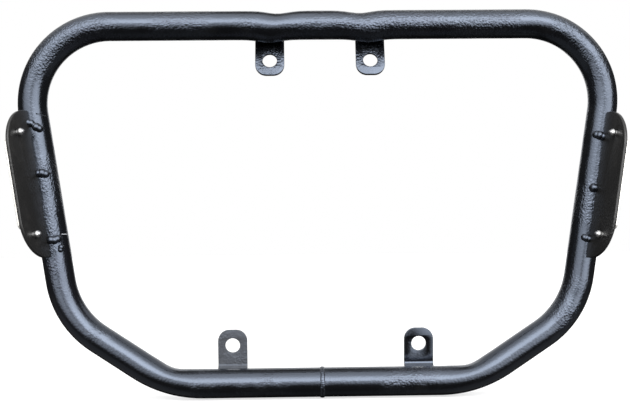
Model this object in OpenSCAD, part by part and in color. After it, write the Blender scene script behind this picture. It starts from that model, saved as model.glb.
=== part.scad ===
// Crash guard: a closed ring of one bent tube with four bolt-on tabs and two badged side plates
// The ring's centreline lies in the XZ plane, and the origin is the ring's middle.
// +X is to the right, -Y is the front, which the side plates point to, and +Y is the vehicle's side.

/* [Ring tube] */
// Outside diameter of the tube
tube_od = 25.4; // [23:0.1:28]
// Wall thickness of the tube
tube_wall = 2; // [1.2:0.1:3]
// Width of the ring across its shoulders, outside the tube
ring_w = 526; // [510:1:560]
// Height of the ring, outside the tube
ring_h = 338; // [325:1:360]
// Inward lean of the side bars, in degrees from upright
side_lean = 9.1; // [7:0.1:11]
// Rise of the knees above the bottom bar, between centrelines
knee_rise = 58; // [52:1:66]
// Distance between the two foot corners, where the centrelines would cross
foot_w = 266; // [256:1:280]
// Bend radius at the shoulders, to the centreline
shoulder_r = 67; // [60:1:72]
// Bend radius at the knees, to the centreline
knee_r = 75; // [60:1:85]
// Bend radius at the feet, to the centreline
foot_r = 100; // [70:1:105]

/* [Seam weld] */
// Root gap between the tube's two ends
seam_gap = 1.6; // [1:0.1:2.5]
// Width of the weld's crown
seam_w = 5.4; // [4:0.1:8]
// Height of the crown over the tube
seam_h = 0.9; // [0.5:0.1:1.5]

/* [Side plates] */
// Length of a side plate along its bar
plate_l = 128; // [115:1:135]
// Reach of a side plate beyond the tube's surface
plate_reach = 37; // [36.5:0.5:44]
// Thickness of a side plate
plate_t = 3; // [2:0.1:4]
// Radius of a side plate's two free corners
plate_r = 33; // [20:1:34]
// Mean outward splay of the side plates, in degrees from straight forward
plate_splay = 14; // [8:0.5:22]
// How much more the left plate is splayed than the mean, and the right one less
splay_skew = 2.5; // [-3:0.5:3]
// Mean drop from the top bar's centreline to the middle of a side plate
plate_drop = 140.5; // [136:0.5:143]
// How much higher than the mean the left plate sits, and the right one lower
plate_stagger = 2.75; // [-3:0.25:3]

/* [Mounting tabs] */
// Width of the flat bar that the tabs are cut from
tab_w = 26; // [24:0.5:30]
// Thickness of the flat bar
tab_t = 3; // [2.5:0.1:4]
// Diameter of the bolt hole
tab_hole_d = 13; // [10:0.1:14]
// Distance from the bolt hole's centre to the tab's free end
tab_end = 14; // [12:0.5:18]
// Radius of the free end's corners
tab_corner_r = 10; // [4:0.5:11.5]
// Inside radius of a tab's bend
tab_bend_r = 3; // [2:0.1:4]
// Slope of the leg that steps a tab back from the tube, in degrees
leg_slope = 45; // [40:1:50]

/* [Upper tab pair] */
// Distance between the upper bolt holes
upper_gap = 90; // [84:0.5:110]
// Offset of the upper pair from the ring's middle, to the right
upper_shift = 1.5; // [-4:0.5:4]
// Distance of the upper bolt holes from the top bar's centreline
upper_in = 28.5; // [27:0.5:32]
// Distance of the upper tabs' bend from the top bar's centreline, into the ring
upper_bend_in = 8; // [7:0.5:10]
// Step of the upper tabs' bend behind the ring's plane
upper_step = 21.5; // [20:0.5:23]
// Tilt of the upper tabs' flats towards the ring's plane, in degrees
upper_tilt = 15; // [5:1:18]

/* [Lower tab pair] */
// Distance between the lower bolt holes
lower_gap = 166; // [150:1:170]
// Offset of the lower pair from the ring's middle, to the right
lower_shift = 4; // [-4:0.5:5]
// Distance of the lower bolt holes from the bottom bar's centreline
lower_in = 30.5; // [29:0.5:35]
// Distance of the lower tabs' bend from the bottom bar's centreline, into the ring
lower_bend_in = 12.5; // [11:0.5:13.5]
// Step of the lower tabs' bend behind the ring's plane
lower_step = 24; // [23:0.5:26]
// Tilt of the lower tabs' flats towards the ring's plane, in degrees
lower_tilt = 6; // [0:1:12]

/* [Badges] */
// Length of a badge's body
badge_l = 76; // [75:0.5:77.5]
// Height of a badge's body
badge_h = 30; // [24:0.5:30]
// Thickness of the badge sheet
badge_t = 1.5; // [1:0.1:2]
// Corner radius of a badge's body
badge_r = 4; // [2:0.5:6]
// Radius of the round ears that the rivets hold
ear_r = 7; // [6:0.1:8]
// Number of slanted slots in a badge
slot_count = 6; // [3:1:7]
// Length of a slot
slot_l = 22; // [14:1:23]
// Width of a slot
slot_w = 5.4; // [3:0.1:6]
// Slant of the slots, in degrees
slot_slant = 18; // [0:1:25]

/* [Rivets] */
// Distance between the two rivets of a badge
rivet_gap = 87; // [86:0.5:88]
// Height of the rivets above the tube's surface, along the plate
rivet_rise = 21.5; // [17:0.5:21.5]
// Diameter of a rivet's shank
rivet_d = 4.8; // [4:0.1:5.2]
// Diameter of a rivet's head
rivet_head_d = 9.5; // [8:0.1:10.5]
// Height of a rivet's head
rivet_head_h = 1.5; // [1.2:0.1:2]
// Diameter of a rivet's swollen blind end
rivet_tail_d = 6.2; // [5.8:0.1:7]
// Length of a rivet's blind end beyond the plate
rivet_tail_l = 5.5; // [5:0.1:8]
// Diameter of the mandrel left in a rivet
mandrel_d = 2.7; // [2.2:0.1:3]

/* [Weld beads] */
// Length of each tack weld, laid across the joint from a plate's inner face onto the tube
tack_l = 14; // [12:0.5:15]
// Radius of a tack weld
tack_r = 3.4; // [2.8:0.1:3.6]
// Rise of the left plate's upper tack above the plate's middle
left_tack_up = 50; // [42:0.5:54]
// Rise of the left plate's middle tack above the plate's middle
left_tack_mid = 8; // [-8:0.5:12]
// Drop of the left plate's lower tack below the plate's middle
left_tack_down = 50; // [42:0.5:54]
// Rise of the right plate's upper tack above the plate's middle
right_tack_up = 42.5; // [40:0.5:54]
// Rise of the right plate's middle tack above the plate's middle
right_tack_mid = -3.5; // [-10:0.5:10]
// Drop of the right plate's lower tack below the plate's middle
right_tack_down = 47.5; // [40:0.5:54]
// Length of each bead on a plate's outer face
outer_bead_l = 22; // [15:1:26]
// Radius of each bead on a plate's outer face
outer_bead_r = 2.3; // [1.8:0.1:3]
// Spacing of the beads on a plate's outer face
outer_bead_gap = 32; // [28:1:46]
// Radius of the beads along a tab's leg
tab_bead_r = 2.5; // [2:0.1:3]

/* [Hidden] */
$fn = 96;
fit_gap = 0.05;                 // radial room round a shank or a mandrel in its hole
cut_over = 1;                   // extra length of a cutter past the face it opens
swell = 0.05;                   // how far a bend stands proud of the straights that run into it
lap = 0.4;                      // length of a straight that runs on inside a bend of the tube
tab_lap = 0.2;                  // length of a tab's leg and flat that run on inside its bend
bead_stand = 0.3;               // how far a bead's middle stands off its corner, as a share of its radius
tack_at = 28.4;                 // angle round the tube from a plate's middle plane to its tacks' middle
mandrel_sink = 0.9;             // depth of the broken mandrel below the rivet head's crown
mandrel_head_h = 1.6;           // height of the mandrel's head at the blind end

tube_r = tube_od / 2;
bore_d = tube_od - 2 * tube_wall;
drop = ring_h - tube_od;        // height between the top and bottom centrelines
top_z = drop / 2;

shoulder_turn = 90 + side_lean;
shoulder_x = ring_w / 2 - tube_r - shoulder_r + setback(shoulder_r, shoulder_turn);
shoulder = [shoulder_x, top_z];
knee = [side_x(drop - knee_rise), knee_rise - top_z];
foot = [foot_w / 2, -top_z];
seam = [seam_gap / 2, -top_z];
foot_turn = atan2(knee.y - foot.y, knee.x - foot.x);
knee_turn = 180 - shoulder_turn - foot_turn;
shoulder_cut = setback(shoulder_r, shoulder_turn);
knee_cut = setback(knee_r, knee_turn);
foot_cut = setback(foot_r, foot_turn);

bend_mid_r = tab_bend_r + tab_t / 2;
rivet_x = tube_r + rivet_rise;
grip = plate_t + badge_t;
shank_hole_d = rivet_d + 2 * fit_gap;

// Length from a corner to where its bend begins
function setback(r, turn) = r * tan(turn / 2);

// Distance of a side bar's centreline from the middle, at a drop below the top bar
function side_x(down) = shoulder_x - down * tan(side_lean);

// Point on the line from a to b, at a distance from a
function along(a, b, dist) = a + (b - a) * dist / norm(b - a);

// Turns the XY plane, where the ring is drawn, into the upright XZ plane
module upright() {
    rotate([90, 0, 0]) children();
}

// Straight length of tube from a to b, solid where id is 0, that runs on into the bend at its start
// and, where both is true, into the one at its end
module straight(a, b, od, id, both = true) {
    span = norm(b - a) + lap + (both ? lap : 0);
    upright()
        translate([a.x, a.y, 0])
            rotate([0, 90, atan2(b.y - a.y, b.x - a.x)])
                translate([0, 0, -lap])
                    difference() {
                        cylinder(h = span, d = od);
                        if (id > 0) translate([0, 0, -cut_over]) cylinder(h = span + 2 * cut_over, d = id);
                    }
}

// Bend to the right at a corner, entered on the given heading
module bend(corner, heading, turn, r, od, id) {
    hub_angle = heading - 90 - turn / 2;
    hub_dist = r / cos(turn / 2);
    upright()
        translate([corner.x + hub_dist * cos(hub_angle), corner.y + hub_dist * sin(hub_angle), 0])
            rotate([0, 0, heading + 90 - turn])
                rotate_extrude(angle = turn)
                    translate([r, 0])
                        difference() {
                            circle(r = od / 2 + swell);
                            if (id > 0) circle(r = id / 2 - swell);
                        }
}

// The tube's lengths, from the top bar down the right side to the seam
module top_bar(od, id) {
    straight([shoulder_cut - shoulder.x, top_z], [shoulder.x - shoulder_cut, top_z], od, id);
}

module shoulder_and_side(od, id) {
    bend(shoulder, 0, shoulder_turn, shoulder_r, od, id);
    straight(along(shoulder, knee, shoulder_cut), along(knee, shoulder, knee_cut), od, id);
    bend(knee, -shoulder_turn, knee_turn, knee_r, od, id);
}

module foot_and_bottom(od, id) {
    straight(along(knee, foot, knee_cut), along(foot, knee, foot_cut), od, id);
    bend(foot, -shoulder_turn - knee_turn, foot_turn, foot_r, od, id);
    straight(along(foot, seam, foot_cut), seam, od, id, false);
}

// One bent tube, open by the seam gap at the middle of its bottom bar
module ring_tube() {
    color("#2b2d30") {
        top_bar(tube_od, bore_d);
        for (flip = [0, 1]) mirror([flip, 0, 0]) {
            shoulder_and_side(tube_od, bore_d);
            foot_and_bottom(tube_od, bore_d);
        }
    }
}

// Butt weld: a root that fills the gap and a low rounded crown over it
module seam_weld() {
    crown_r = (pow(seam_w / 2, 2) + pow(seam_h, 2)) / (2 * seam_h);
    color("#303236")
        translate([0, 0, -top_z])
            rotate([0, 90, 0])
                rotate_extrude() {
                    translate([bore_d / 2, -seam_gap / 2]) square([tube_wall, seam_gap]);
                    intersection() {
                        translate([tube_r + seam_h - crown_r, 0]) circle(r = crown_r);
                        translate([tube_r, -seam_w / 2]) square([seam_h, seam_w]);
                    }
                }
}

// Frame of a side plate: the origin on the bar's axis, +X away from the bar along the plate,
// +Y up the bar and -Z out of the plate's outer face. side is 1 on the right and 0 on the left
module on_plate(side) {
    leaning = 1 - 2 * side;
    down = plate_drop - leaning * plate_stagger;
    mirror([1 - side, 0, 0])
        upright()
            translate([side_x(down), top_z - down, 0])
                rotate([0, 0, -side_lean])
                    rotate([0, plate_splay + leaning * splay_skew - 90, 0])
                        children();
}

// Room taken by the tube beside a plate, for coping what is welded to it there
module side_room(side) {
    mirror([1 - side, 0, 0]) shoulder_and_side(tube_od, 0);
}

// Outline of a side plate: straight along the bar, with two large free corners
module plate_outline() {
    base_x = tube_r - cut_over;
    round_x = tube_r + plate_reach - plate_r;
    translate([base_x, -plate_l / 2]) square([round_x - base_x, plate_l]);
    translate([base_x, plate_r - plate_l / 2]) square([round_x + plate_r - base_x, plate_l - 2 * plate_r]);
    for (end = [-1, 1])
        intersection() {
            translate([round_x, end * (plate_l / 2 - plate_r)]) circle(r = plate_r);
            translate([base_x, end > 0 ? 0 : -plate_l]) square([2 * plate_r, plate_l]);
        }
}

// Holes for the two rivets of a plate or a badge
module rivet_holes(depth) {
    for (end = [-1, 1])
        translate([rivet_x, end * rivet_gap / 2, 0])
            cylinder(h = depth, d = shank_hole_d, center = true);
}

// Side plate, coped to the tube that it stands on
module side_plate(side) {
    color("#26282b")
        difference() {
            on_plate(side)
                difference() {
                    linear_extrude(height = plate_t, center = true) plate_outline();
                    rivet_holes(plate_t + 2 * cut_over);
                }
            side_room(side);
        }
}

// Outline of a badge: a rounded body, a round ear at each end and a row of slanted slots
module badge_outline() {
    slot_pitch = badge_l / (slot_count + 0.6);
    difference() {
        union() {
            translate([rivet_x - badge_h / 2, badge_r - badge_l / 2]) square([badge_h, badge_l - 2 * badge_r]);
            translate([rivet_x - badge_h / 2 + badge_r, -badge_l / 2]) square([badge_h - 2 * badge_r, badge_l]);
            for (end = [-1, 1], edge = [-1, 1])
                translate([rivet_x + edge * (badge_h / 2 - badge_r), end * (badge_l / 2 - badge_r)])
                    circle(r = badge_r);
            for (end = [-1, 1]) translate([rivet_x, end * rivet_gap / 2]) circle(r = ear_r);
        }
        for (i = [0 : slot_count - 1])
            translate([rivet_x, (i - (slot_count - 1) / 2) * slot_pitch])
                rotate([0, 0, slot_slant])
                    slot();
    }
}

// One round-ended slot along X
module slot() {
    reach = (slot_l - slot_w) / 2;
    translate([-reach, -slot_w / 2]) square([2 * reach, slot_w]);
    for (end = [-1, 1]) translate([end * reach, 0]) circle(d = slot_w);
}

// Badge on the plate's outer face
module badge(side) {
    color("#c9c6bd")
        on_plate(side)
            difference() {
                translate([0, 0, -plate_t / 2 - badge_t])
                    linear_extrude(height = badge_t) badge_outline();
                rivet_holes(2 * (plate_t + badge_t));
            }
}

// Frame of a rivet: the origin on the badge's face, +Z out of the head. up is 1 for the top rivet
module at_rivet(side, up) {
    on_plate(side)
        translate([rivet_x, (2 * up - 1) * rivet_gap / 2, -plate_t / 2 - badge_t])
            rotate([180, 0, 0])
                children();
}

// Half section of a set blind rivet: a domed head, a shank and a swollen blind end, bored through
module rivet_section() {
    dome_r = (pow(rivet_head_d / 2, 2) + pow(rivet_head_h, 2)) / (2 * rivet_head_h);
    swell_r = 2.2;
    swell_back = 1.9;
    difference() {
        union() {
            intersection() {
                translate([0, rivet_head_h - dome_r]) circle(r = dome_r);
                square([rivet_head_d / 2, rivet_head_h]);
            }
            translate([0, -grip - rivet_tail_l]) square([rivet_d / 2, grip + rivet_tail_l]);
            intersection() {
                translate([rivet_tail_d / 2 - swell_r, swell_back - grip - rivet_tail_l]) circle(r = swell_r);
                translate([0, -grip - rivet_tail_l]) square([rivet_tail_d / 2, rivet_tail_l]);
            }
        }
        translate([0, -grip - rivet_tail_l - cut_over])
            square([mandrel_d / 2 + fit_gap, grip + rivet_tail_l + rivet_head_h + 2 * cut_over]);
    }
}

module rivet(side, up) {
    color("#d4d4d0") at_rivet(side, up) rotate_extrude() rivet_section();
}

// Broken mandrel in the rivet's bore, with its round head under the blind end
module mandrel(side, up) {
    end_z = -grip - rivet_tail_l;
    head_r = rivet_d / 2 - 0.2;
    color("#8f9195")
        at_rivet(side, up)
            rotate_extrude() {
                translate([0, end_z]) square([mandrel_d / 2, rivet_head_h - mandrel_sink - end_z]);
                intersection() {
                    translate([0, end_z - mandrel_head_h + head_r]) circle(r = head_r);
                    translate([0, end_z - mandrel_head_h]) square([head_r, mandrel_head_h]);
                }
            }
}

// Row of overlapping round puddles along X, as a weld leaves them
module puddles(length, r) {
    run = length - 2 * r;
    steps = ceil(run / (0.75 * r));
    rotate([0, 90, 0])
        rotate_extrude()
            intersection() {
                union()
                    for (i = [0 : steps]) translate([0, i * run / steps - run / 2]) circle(r = r);
                translate([0, -length]) square([2 * r, 2 * length]);
            }
}

// Fillet bead along the joint between a side plate's outer face and the tube
module plate_bead(side, place) {
    corner_x = sqrt(pow(tube_r, 2) - pow(plate_t / 2, 2));
    stand = bead_stand * outer_bead_r;
    color("#2e3033")
        difference() {
            on_plate(side)
                difference() {
                    translate([corner_x + stand, place, -plate_t / 2 - stand])
                        rotate([0, 0, 90])
                            puddles(outer_bead_l, outer_bead_r);
                    translate([0, -plate_l / 2, -plate_t / 2]) cube([2 * tube_od, plate_l, plate_t]);
                }
            side_room(side);
        }
}

// Tack weld across a joint, from the plate's inner face onto the front of the tube
module plate_tack(side, place) {
    mid = tube_r - 0.25 * tack_r;
    color("#2e3033")
        difference() {
            on_plate(side)
                difference() {
                    rotate([0, -tack_at, 0])
                        translate([mid, place, 0])
                            rotate([0, 90, 0])
                                puddles(tack_l, tack_r);
                    translate([-tube_od, place - tube_od, plate_t / 2 - 2 * tube_od])
                        cube([3 * tube_od, 2 * tube_od, 2 * tube_od]);
                }
            side_room(side);
        }
}

// Flat of a tab, drawn up from its bend in the XY plane, without its bolt hole
module flat_outline(start, tip) {
    half_w = tab_w / 2;
    translate([-half_w, start]) square([tab_w, tip - tab_corner_r - start]);
    translate([tab_corner_r - half_w, start]) square([tab_w - 2 * tab_corner_r, tip - start]);
    for (edge = [-1, 1]) translate([edge * (half_w - tab_corner_r), tip - tab_corner_r]) circle(r = tab_corner_r);
}

// Leg of a tab, from its bend back into the tube. The origin is where the leg and flat would cross
module leg(back) {
    reach = tube_od;
    rotate([-leg_slope, 0, 0])
        translate([-tab_w / 2, -tab_t / 2, -reach])
            cube([tab_w, tab_t, reach - back]);
}

// Tab before coping, in a bar's frame: X along the bar, +Y back and +Z into the ring
module tab_blank(step, bend_in, tilt, hole_in) {
    turn = leg_slope + tilt;
    back = setback(bend_mid_r, turn);
    lead = back - tab_lap;
    hole_run = (hole_in - bend_in) / cos(tilt);
    translate([0, step, bend_in]) {
        leg(lead);
        rotate([-leg_slope, 0, 0])
            translate([0, -bend_mid_r, -back])
                rotate([90, 0, 90])
                    rotate_extrude(angle = turn)
                        translate([tab_bend_r - swell, -tab_w / 2])
                            square([tab_t + 2 * swell, tab_w]);
        rotate([tilt + 90, 0, 0])
            difference() {
                linear_extrude(height = tab_t, center = true) flat_outline(lead, hole_run + tab_end);
                translate([0, hole_run, -tab_t]) cylinder(h = 2 * tab_t, d = tab_hole_d);
            }
    }
}

// Bead along a tab's leg. face is 1 on the back of the leg and -1 on its inner face
module tab_bead_blank(step, bend_in, face) {
    off = step * cos(leg_slope) - bend_in * sin(leg_slope) + face * tab_t / 2;
    stand = bead_stand * tab_bead_r;
    rotate([-leg_slope, 0, 0])
        translate([0, off + face * stand, sqrt(pow(tube_r, 2) - pow(off, 2)) + stand])
            puddles(tab_w - 1, tab_bead_r);
}

// Room taken by the bottom bar and its corner on one side
module foot_room(side) {
    mirror([1 - side, 0, 0]) foot_and_bottom(tube_od, 0);
}

// Places children on a tab's bar. side is 1 on the right and 0 on the left
module at_upper(side) {
    translate([upper_shift + (side - 0.5) * upper_gap, 0, top_z]) mirror([0, 0, 1]) children();
}

module at_lower(side) {
    translate([lower_shift + (side - 0.5) * lower_gap, 0, -top_z]) children();
}

module upper_tab(side) {
    color("#26282b")
        difference() {
            at_upper(side) tab_blank(upper_step, upper_bend_in, upper_tilt, upper_in);
            top_bar(tube_od, 0);
        }
}

module lower_tab(side) {
    color("#26282b")
        difference() {
            at_lower(side) tab_blank(lower_step, lower_bend_in, lower_tilt, lower_in);
            foot_room(side);
        }
}

module upper_tab_bead(side, face) {
    color("#2e3033")
        difference() {
            at_upper(side)
                difference() {
                    tab_bead_blank(upper_step, upper_bend_in, face);
                    translate([0, upper_step, upper_bend_in]) leg(0);
                }
            top_bar(tube_od, 0);
        }
}

module lower_tab_bead(side, face) {
    color("#2e3033")
        difference() {
            at_lower(side)
                difference() {
                    tab_bead_blank(lower_step, lower_bend_in, face);
                    translate([0, lower_step, lower_bend_in]) leg(0);
                }
            foot_room(side);
        }
}

ring_tube();
seam_weld();
side_plate(0);  // left_side_plate
side_plate(1);  // right_side_plate
upper_tab(0);  // upper_left_tab
upper_tab(1);  // upper_right_tab
lower_tab(0);  // lower_left_tab
lower_tab(1);  // lower_right_tab
badge(0);  // left_badge
badge(1);  // right_badge
rivet(0, 1);  // left_top_rivet
rivet(0, 0);  // left_bottom_rivet
rivet(1, 1);  // right_top_rivet
rivet(1, 0);  // right_bottom_rivet
mandrel(0, 1);  // left_top_mandrel
mandrel(0, 0);  // left_bottom_mandrel
mandrel(1, 1);  // right_top_mandrel
mandrel(1, 0);  // right_bottom_mandrel
plate_tack(0, left_tack_up);  // left_inner_top_bead
plate_tack(0, left_tack_mid);  // left_inner_middle_bead
plate_tack(0, -left_tack_down);  // left_inner_bottom_bead
plate_tack(1, right_tack_up);  // right_inner_top_bead
plate_tack(1, right_tack_mid);  // right_inner_middle_bead
plate_tack(1, -right_tack_down);  // right_inner_bottom_bead
plate_bead(0, outer_bead_gap);  // left_outer_top_bead
plate_bead(0, 0);  // left_outer_middle_bead
plate_bead(0, -outer_bead_gap);  // left_outer_bottom_bead
plate_bead(1, outer_bead_gap);  // right_outer_top_bead
plate_bead(1, 0);  // right_outer_middle_bead
plate_bead(1, -outer_bead_gap);  // right_outer_bottom_bead
upper_tab_bead(0, 1);  // upper_left_tab_back_bead
upper_tab_bead(1, 1);  // upper_right_tab_back_bead
lower_tab_bead(0, 1);  // lower_left_tab_back_bead
lower_tab_bead(1, 1);  // lower_right_tab_back_bead
upper_tab_bead(0, -1);  // upper_left_tab_inner_bead
upper_tab_bead(1, -1);  // upper_right_tab_inner_bead
lower_tab_bead(0, -1);  // lower_left_tab_inner_bead
lower_tab_bead(1, -1);  // lower_right_tab_inner_bead
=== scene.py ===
"""Looks of a motorcycle crash bar: a closed ring of bent tube with bolt-on tabs and badged side plates."""

import logging
import math
import random
from dataclasses import dataclass, field
from enum import Enum
from typing import Callable, Iterable, Sequence

import bmesh
import bpy
from mathutils import Matrix, Vector


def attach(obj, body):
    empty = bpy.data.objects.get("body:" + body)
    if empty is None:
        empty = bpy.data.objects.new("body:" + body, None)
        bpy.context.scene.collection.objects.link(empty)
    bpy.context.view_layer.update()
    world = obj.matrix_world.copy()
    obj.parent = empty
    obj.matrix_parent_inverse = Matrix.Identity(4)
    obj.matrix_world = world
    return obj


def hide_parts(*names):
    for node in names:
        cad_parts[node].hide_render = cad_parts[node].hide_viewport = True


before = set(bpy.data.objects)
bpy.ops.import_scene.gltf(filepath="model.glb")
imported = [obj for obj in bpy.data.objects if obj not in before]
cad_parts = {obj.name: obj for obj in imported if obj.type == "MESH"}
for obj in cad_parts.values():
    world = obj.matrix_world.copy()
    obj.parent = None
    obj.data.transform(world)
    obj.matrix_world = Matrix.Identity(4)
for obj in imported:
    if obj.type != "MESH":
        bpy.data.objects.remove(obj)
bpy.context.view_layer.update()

LOG = logging.getLogger("crash_bar")
MM = 0.001
BODY = "root"
Point2 = tuple[float, float]
Span = tuple[float, float]
Colour = tuple[float, float, float]
Settings = dict[str, object]
Sockets = dict[str | int, object]


class Side(Enum):
    """Side of the ring, seen from the front. The value is the sign of X there."""

    LEFT = -1
    RIGHT = 1

    @property
    def word(self) -> str:
        """The side's name as the nodes spell it."""
        return self.name.lower()


class Row(Enum):
    """The bar that a pair of tabs is welded to. The value is the sign of Z there."""

    UPPER = 1
    LOWER = -1

    @property
    def word(self) -> str:
        """The row's name as the nodes spell it."""
        return self.name.lower()


class Slot(Enum):
    """Material slots of the record."""

    BLACK_PAINT = "black_paint"
    BADGE_STEEL = "badge_steel"
    RIVET_ALUMINIUM = "rivet_aluminium"
    MANDREL_STEEL = "mandrel_steel"


class Wire:
    """One output socket of a tree, whose arithmetic adds Math nodes."""

    def __init__(self, graph: "Graph", socket: bpy.types.NodeSocket) -> None:
        """Keeps the socket and the graph it belongs to."""
        self.graph = graph
        self.socket = socket

    def __add__(self, other: "Wire | float") -> "Wire":
        """Sum of the two."""
        return self.graph.maths("ADD", self, other)

    __radd__ = __add__

    def __mul__(self, other: "Wire | float") -> "Wire":
        """Product of the two."""
        return self.graph.maths("MULTIPLY", self, other)

    __rmul__ = __mul__

    def __sub__(self, other: "Wire | float") -> "Wire":
        """This less the other."""
        return self.graph.maths("SUBTRACT", self, other)

    def __rsub__(self, other: "Wire | float") -> "Wire":
        """The other less this."""
        return self.graph.maths("SUBTRACT", other, self)

    def __abs__(self) -> "Wire":
        """Size of this without its sign."""
        return self.graph.maths("ABSOLUTE", self, 0.0)


class Graph:
    """Adds nodes to a shader, world or geometry tree."""

    def __init__(self, tree: bpy.types.NodeTree) -> None:
        """Keeps the tree that the nodes go into."""
        self.tree = tree

    def feed(self, node: bpy.types.Node, sockets: Sockets) -> None:
        """Links or sets inputs of a node.

        Args:
            node: The node.
            sockets: Links or values of its inputs, by name or number.
        """
        for key, value in sockets.items():
            if isinstance(value, Wire):
                self.tree.links.new(value.socket, node.inputs[key])
            else:
                node.inputs[key].default_value = value

    def node(
        self, kind: str, settings: Settings | None = None, sockets: Sockets | None = None
    ) -> bpy.types.Node:
        """Adds one node.

        Args:
            kind: The node's type.
            settings: Properties, set before the sockets.
            sockets: Links or values of its inputs, by name or number.

        Returns:
            The new node.
        """
        made = self.tree.nodes.new(kind)
        for key, value in (settings or {}).items():
            setattr(made, key, value)
        self.feed(made, sockets or {})
        return made

    def wire(
        self,
        kind: str,
        settings: Settings | None = None,
        sockets: Sockets | None = None,
        output: str | int = 0,
    ) -> Wire:
        """Adds one node and gives one of its outputs.

        Args:
            kind: The node's type.
            settings: Properties, set before the sockets.
            sockets: Links or values of its inputs, by name or number.
            output: Name or number of the output.

        Returns:
            The output.
        """
        return Wire(self, self.node(kind, settings, sockets).outputs[output])

    def maths(self, operation: str, a: "Wire | float", b: "Wire | float") -> Wire:
        """Result of one Math node."""
        return self.wire("ShaderNodeMath", {"operation": operation}, {0: a, 1: b})

    def smooth(self, value: Wire, low: float, high: float, to_low: float = 0.0, to_high: float = 1.0) -> Wire:
        """Smooth step of a value.

        Args:
            value: What is stepped.
            low: Value where the step begins.
            high: Value where it ends.
            to_low: Result below the step.
            to_high: Result above it.

        Returns:
            The stepped value.
        """
        sockets = {"Value": value, "From Min": low, "From Max": high, "To Min": to_low, "To Max": to_high}
        return self.wire("ShaderNodeMapRange", {"interpolation_type": "SMOOTHSTEP"}, sockets)

    def tint(self, share: Wire, first: "Wire | Colour", second: Colour) -> Wire:
        """Mix of two colours, with the share of the second.

        Args:
            share: Share of the second colour.
            first: Colour at no share.
            second: Colour at full share.

        Returns:
            The mixed colour.
        """
        base = first if isinstance(first, Wire) else (*first, 1.0)
        sockets = {"Factor": share, 6: base, 7: (*second, 1.0)}
        return self.wire("ShaderNodeMix", {"data_type": "RGBA"}, sockets, 2)

    def noise(self, place: Wire, scale: float, detail: float = 2.0, roughness: float = 0.5) -> Wire:
        """Grey noise at a place, with a scale in features per metre."""
        sockets = {"Vector": place, "Scale": scale, "Detail": detail, "Roughness": roughness}
        return self.wire("ShaderNodeTexNoise", {}, sockets, "Fac")

    def pebbles(self, place: Wire, scale: float, softness: float) -> Wire:
        """Distance to the middle of soft cells, with a scale in cells per metre."""
        sockets = {"Vector": place, "Scale": scale, "Smoothness": softness}
        return self.wire("ShaderNodeTexVoronoi", {"feature": "SMOOTH_F1"}, sockets, "Distance")

    def bump(self, height: Wire, distance: float, strength: float = 1.0) -> Wire:
        """Normal of a surface with a height, whose unit is a distance in metres."""
        return self.wire("ShaderNodeBump", {}, {"Strength": strength, "Distance": distance, "Height": height})

    def place(self) -> Wire:
        """Place on the object."""
        return self.wire("ShaderNodeTexCoord", output="Object")

    def split(self, vector: Wire) -> list[Wire]:
        """X, Y and Z of a vector."""
        return [Wire(self, socket) for socket in self.node("ShaderNodeSeparateXYZ", {}, {0: vector}).outputs]


class PieceTree(Graph):
    """Geometry tree with named inputs that ends in real geometry with a finish."""

    def __init__(self, name: str, inputs: dict[str, str]) -> None:
        """Makes the tree, its inputs and its output.

        Args:
            name: Name of the tree.
            inputs: Kind of each input, by name.
        """
        super().__init__(bpy.data.node_groups.new(name, "GeometryNodeTree"))
        self.keys: dict[str, str] = {}
        for key, kind in {**inputs, "Finish": "Material"}.items():
            socket = self.tree.interface.new_socket(key, in_out="INPUT", socket_type=f"NodeSocket{kind}")
            self.keys[key] = socket.identifier
        self.tree.interface.new_socket("Geometry", in_out="OUTPUT", socket_type="NodeSocketGeometry")
        self.inputs = self.node("NodeGroupInput")

    def given(self, name: str) -> Wire:
        """One input of the tree."""
        return Wire(self, self.inputs.outputs[name])

    def vector(self, name: str) -> Wire:
        """Vector that each point carries under a name."""
        kind = {"data_type": "FLOAT_VECTOR"}
        return self.wire("GeometryNodeInputNamedAttribute", kind, {"Name": name}, "Attribute")

    def end(self, shape: Wire) -> None:
        """Makes the shape real, gives it the finish and sends it out."""
        real = self.wire("GeometryNodeRealizeInstances", {}, {0: shape})
        done = self.wire("GeometryNodeSetMaterial", {}, {"Geometry": real, "Material": self.given("Finish")})
        self.node("NodeGroupOutput", {}, {0: done})

    def put_on(self, source: bpy.types.Object, values: dict[str, object]) -> None:
        """Puts the tree on an object.

        Args:
            source: The object, whose mesh is the first input.
            values: Values of the other inputs, by name.
        """
        modifier = source.modifiers.new(self.tree.name, "NODES")
        modifier.node_group = self.tree
        for key, value in values.items():
            modifier[self.keys[key]] = value


@dataclass(frozen=True)
class Mark:
    """A straight scratch or press mark on the front of the ring.

    Attributes:
        middle: Its middle in X and Z.
        length: Its length.
        width: Its width.
        turn: Its slope from X, in radians.
        depth: Depth behind the ring's plane over which it fades out.
    """

    middle: Point2
    length: float
    width: float
    turn: float = 0.0
    depth: float = 4 * MM

    def mask(self, graph: Graph) -> Wire:
        """Mask that is 1 on the mark.

        Args:
            graph: The material's graph.

        Returns:
            The mask.
        """
        x, y, z = graph.split(graph.place())
        off_x, off_z = x - self.middle[0], z - self.middle[1]
        c, s = math.cos(self.turn), math.sin(self.turn)
        ends = graph.smooth(abs(off_x * c + off_z * s), self.length * 0.35, self.length * 0.5, 1.0, 0.0)
        edge = graph.smooth(abs(off_z * c - off_x * s), self.width * 0.2, self.width * 0.5, 1.0, 0.0)
        return ends * edge * graph.smooth(y, -self.depth, 0.0, 1.0, 0.0)


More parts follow.
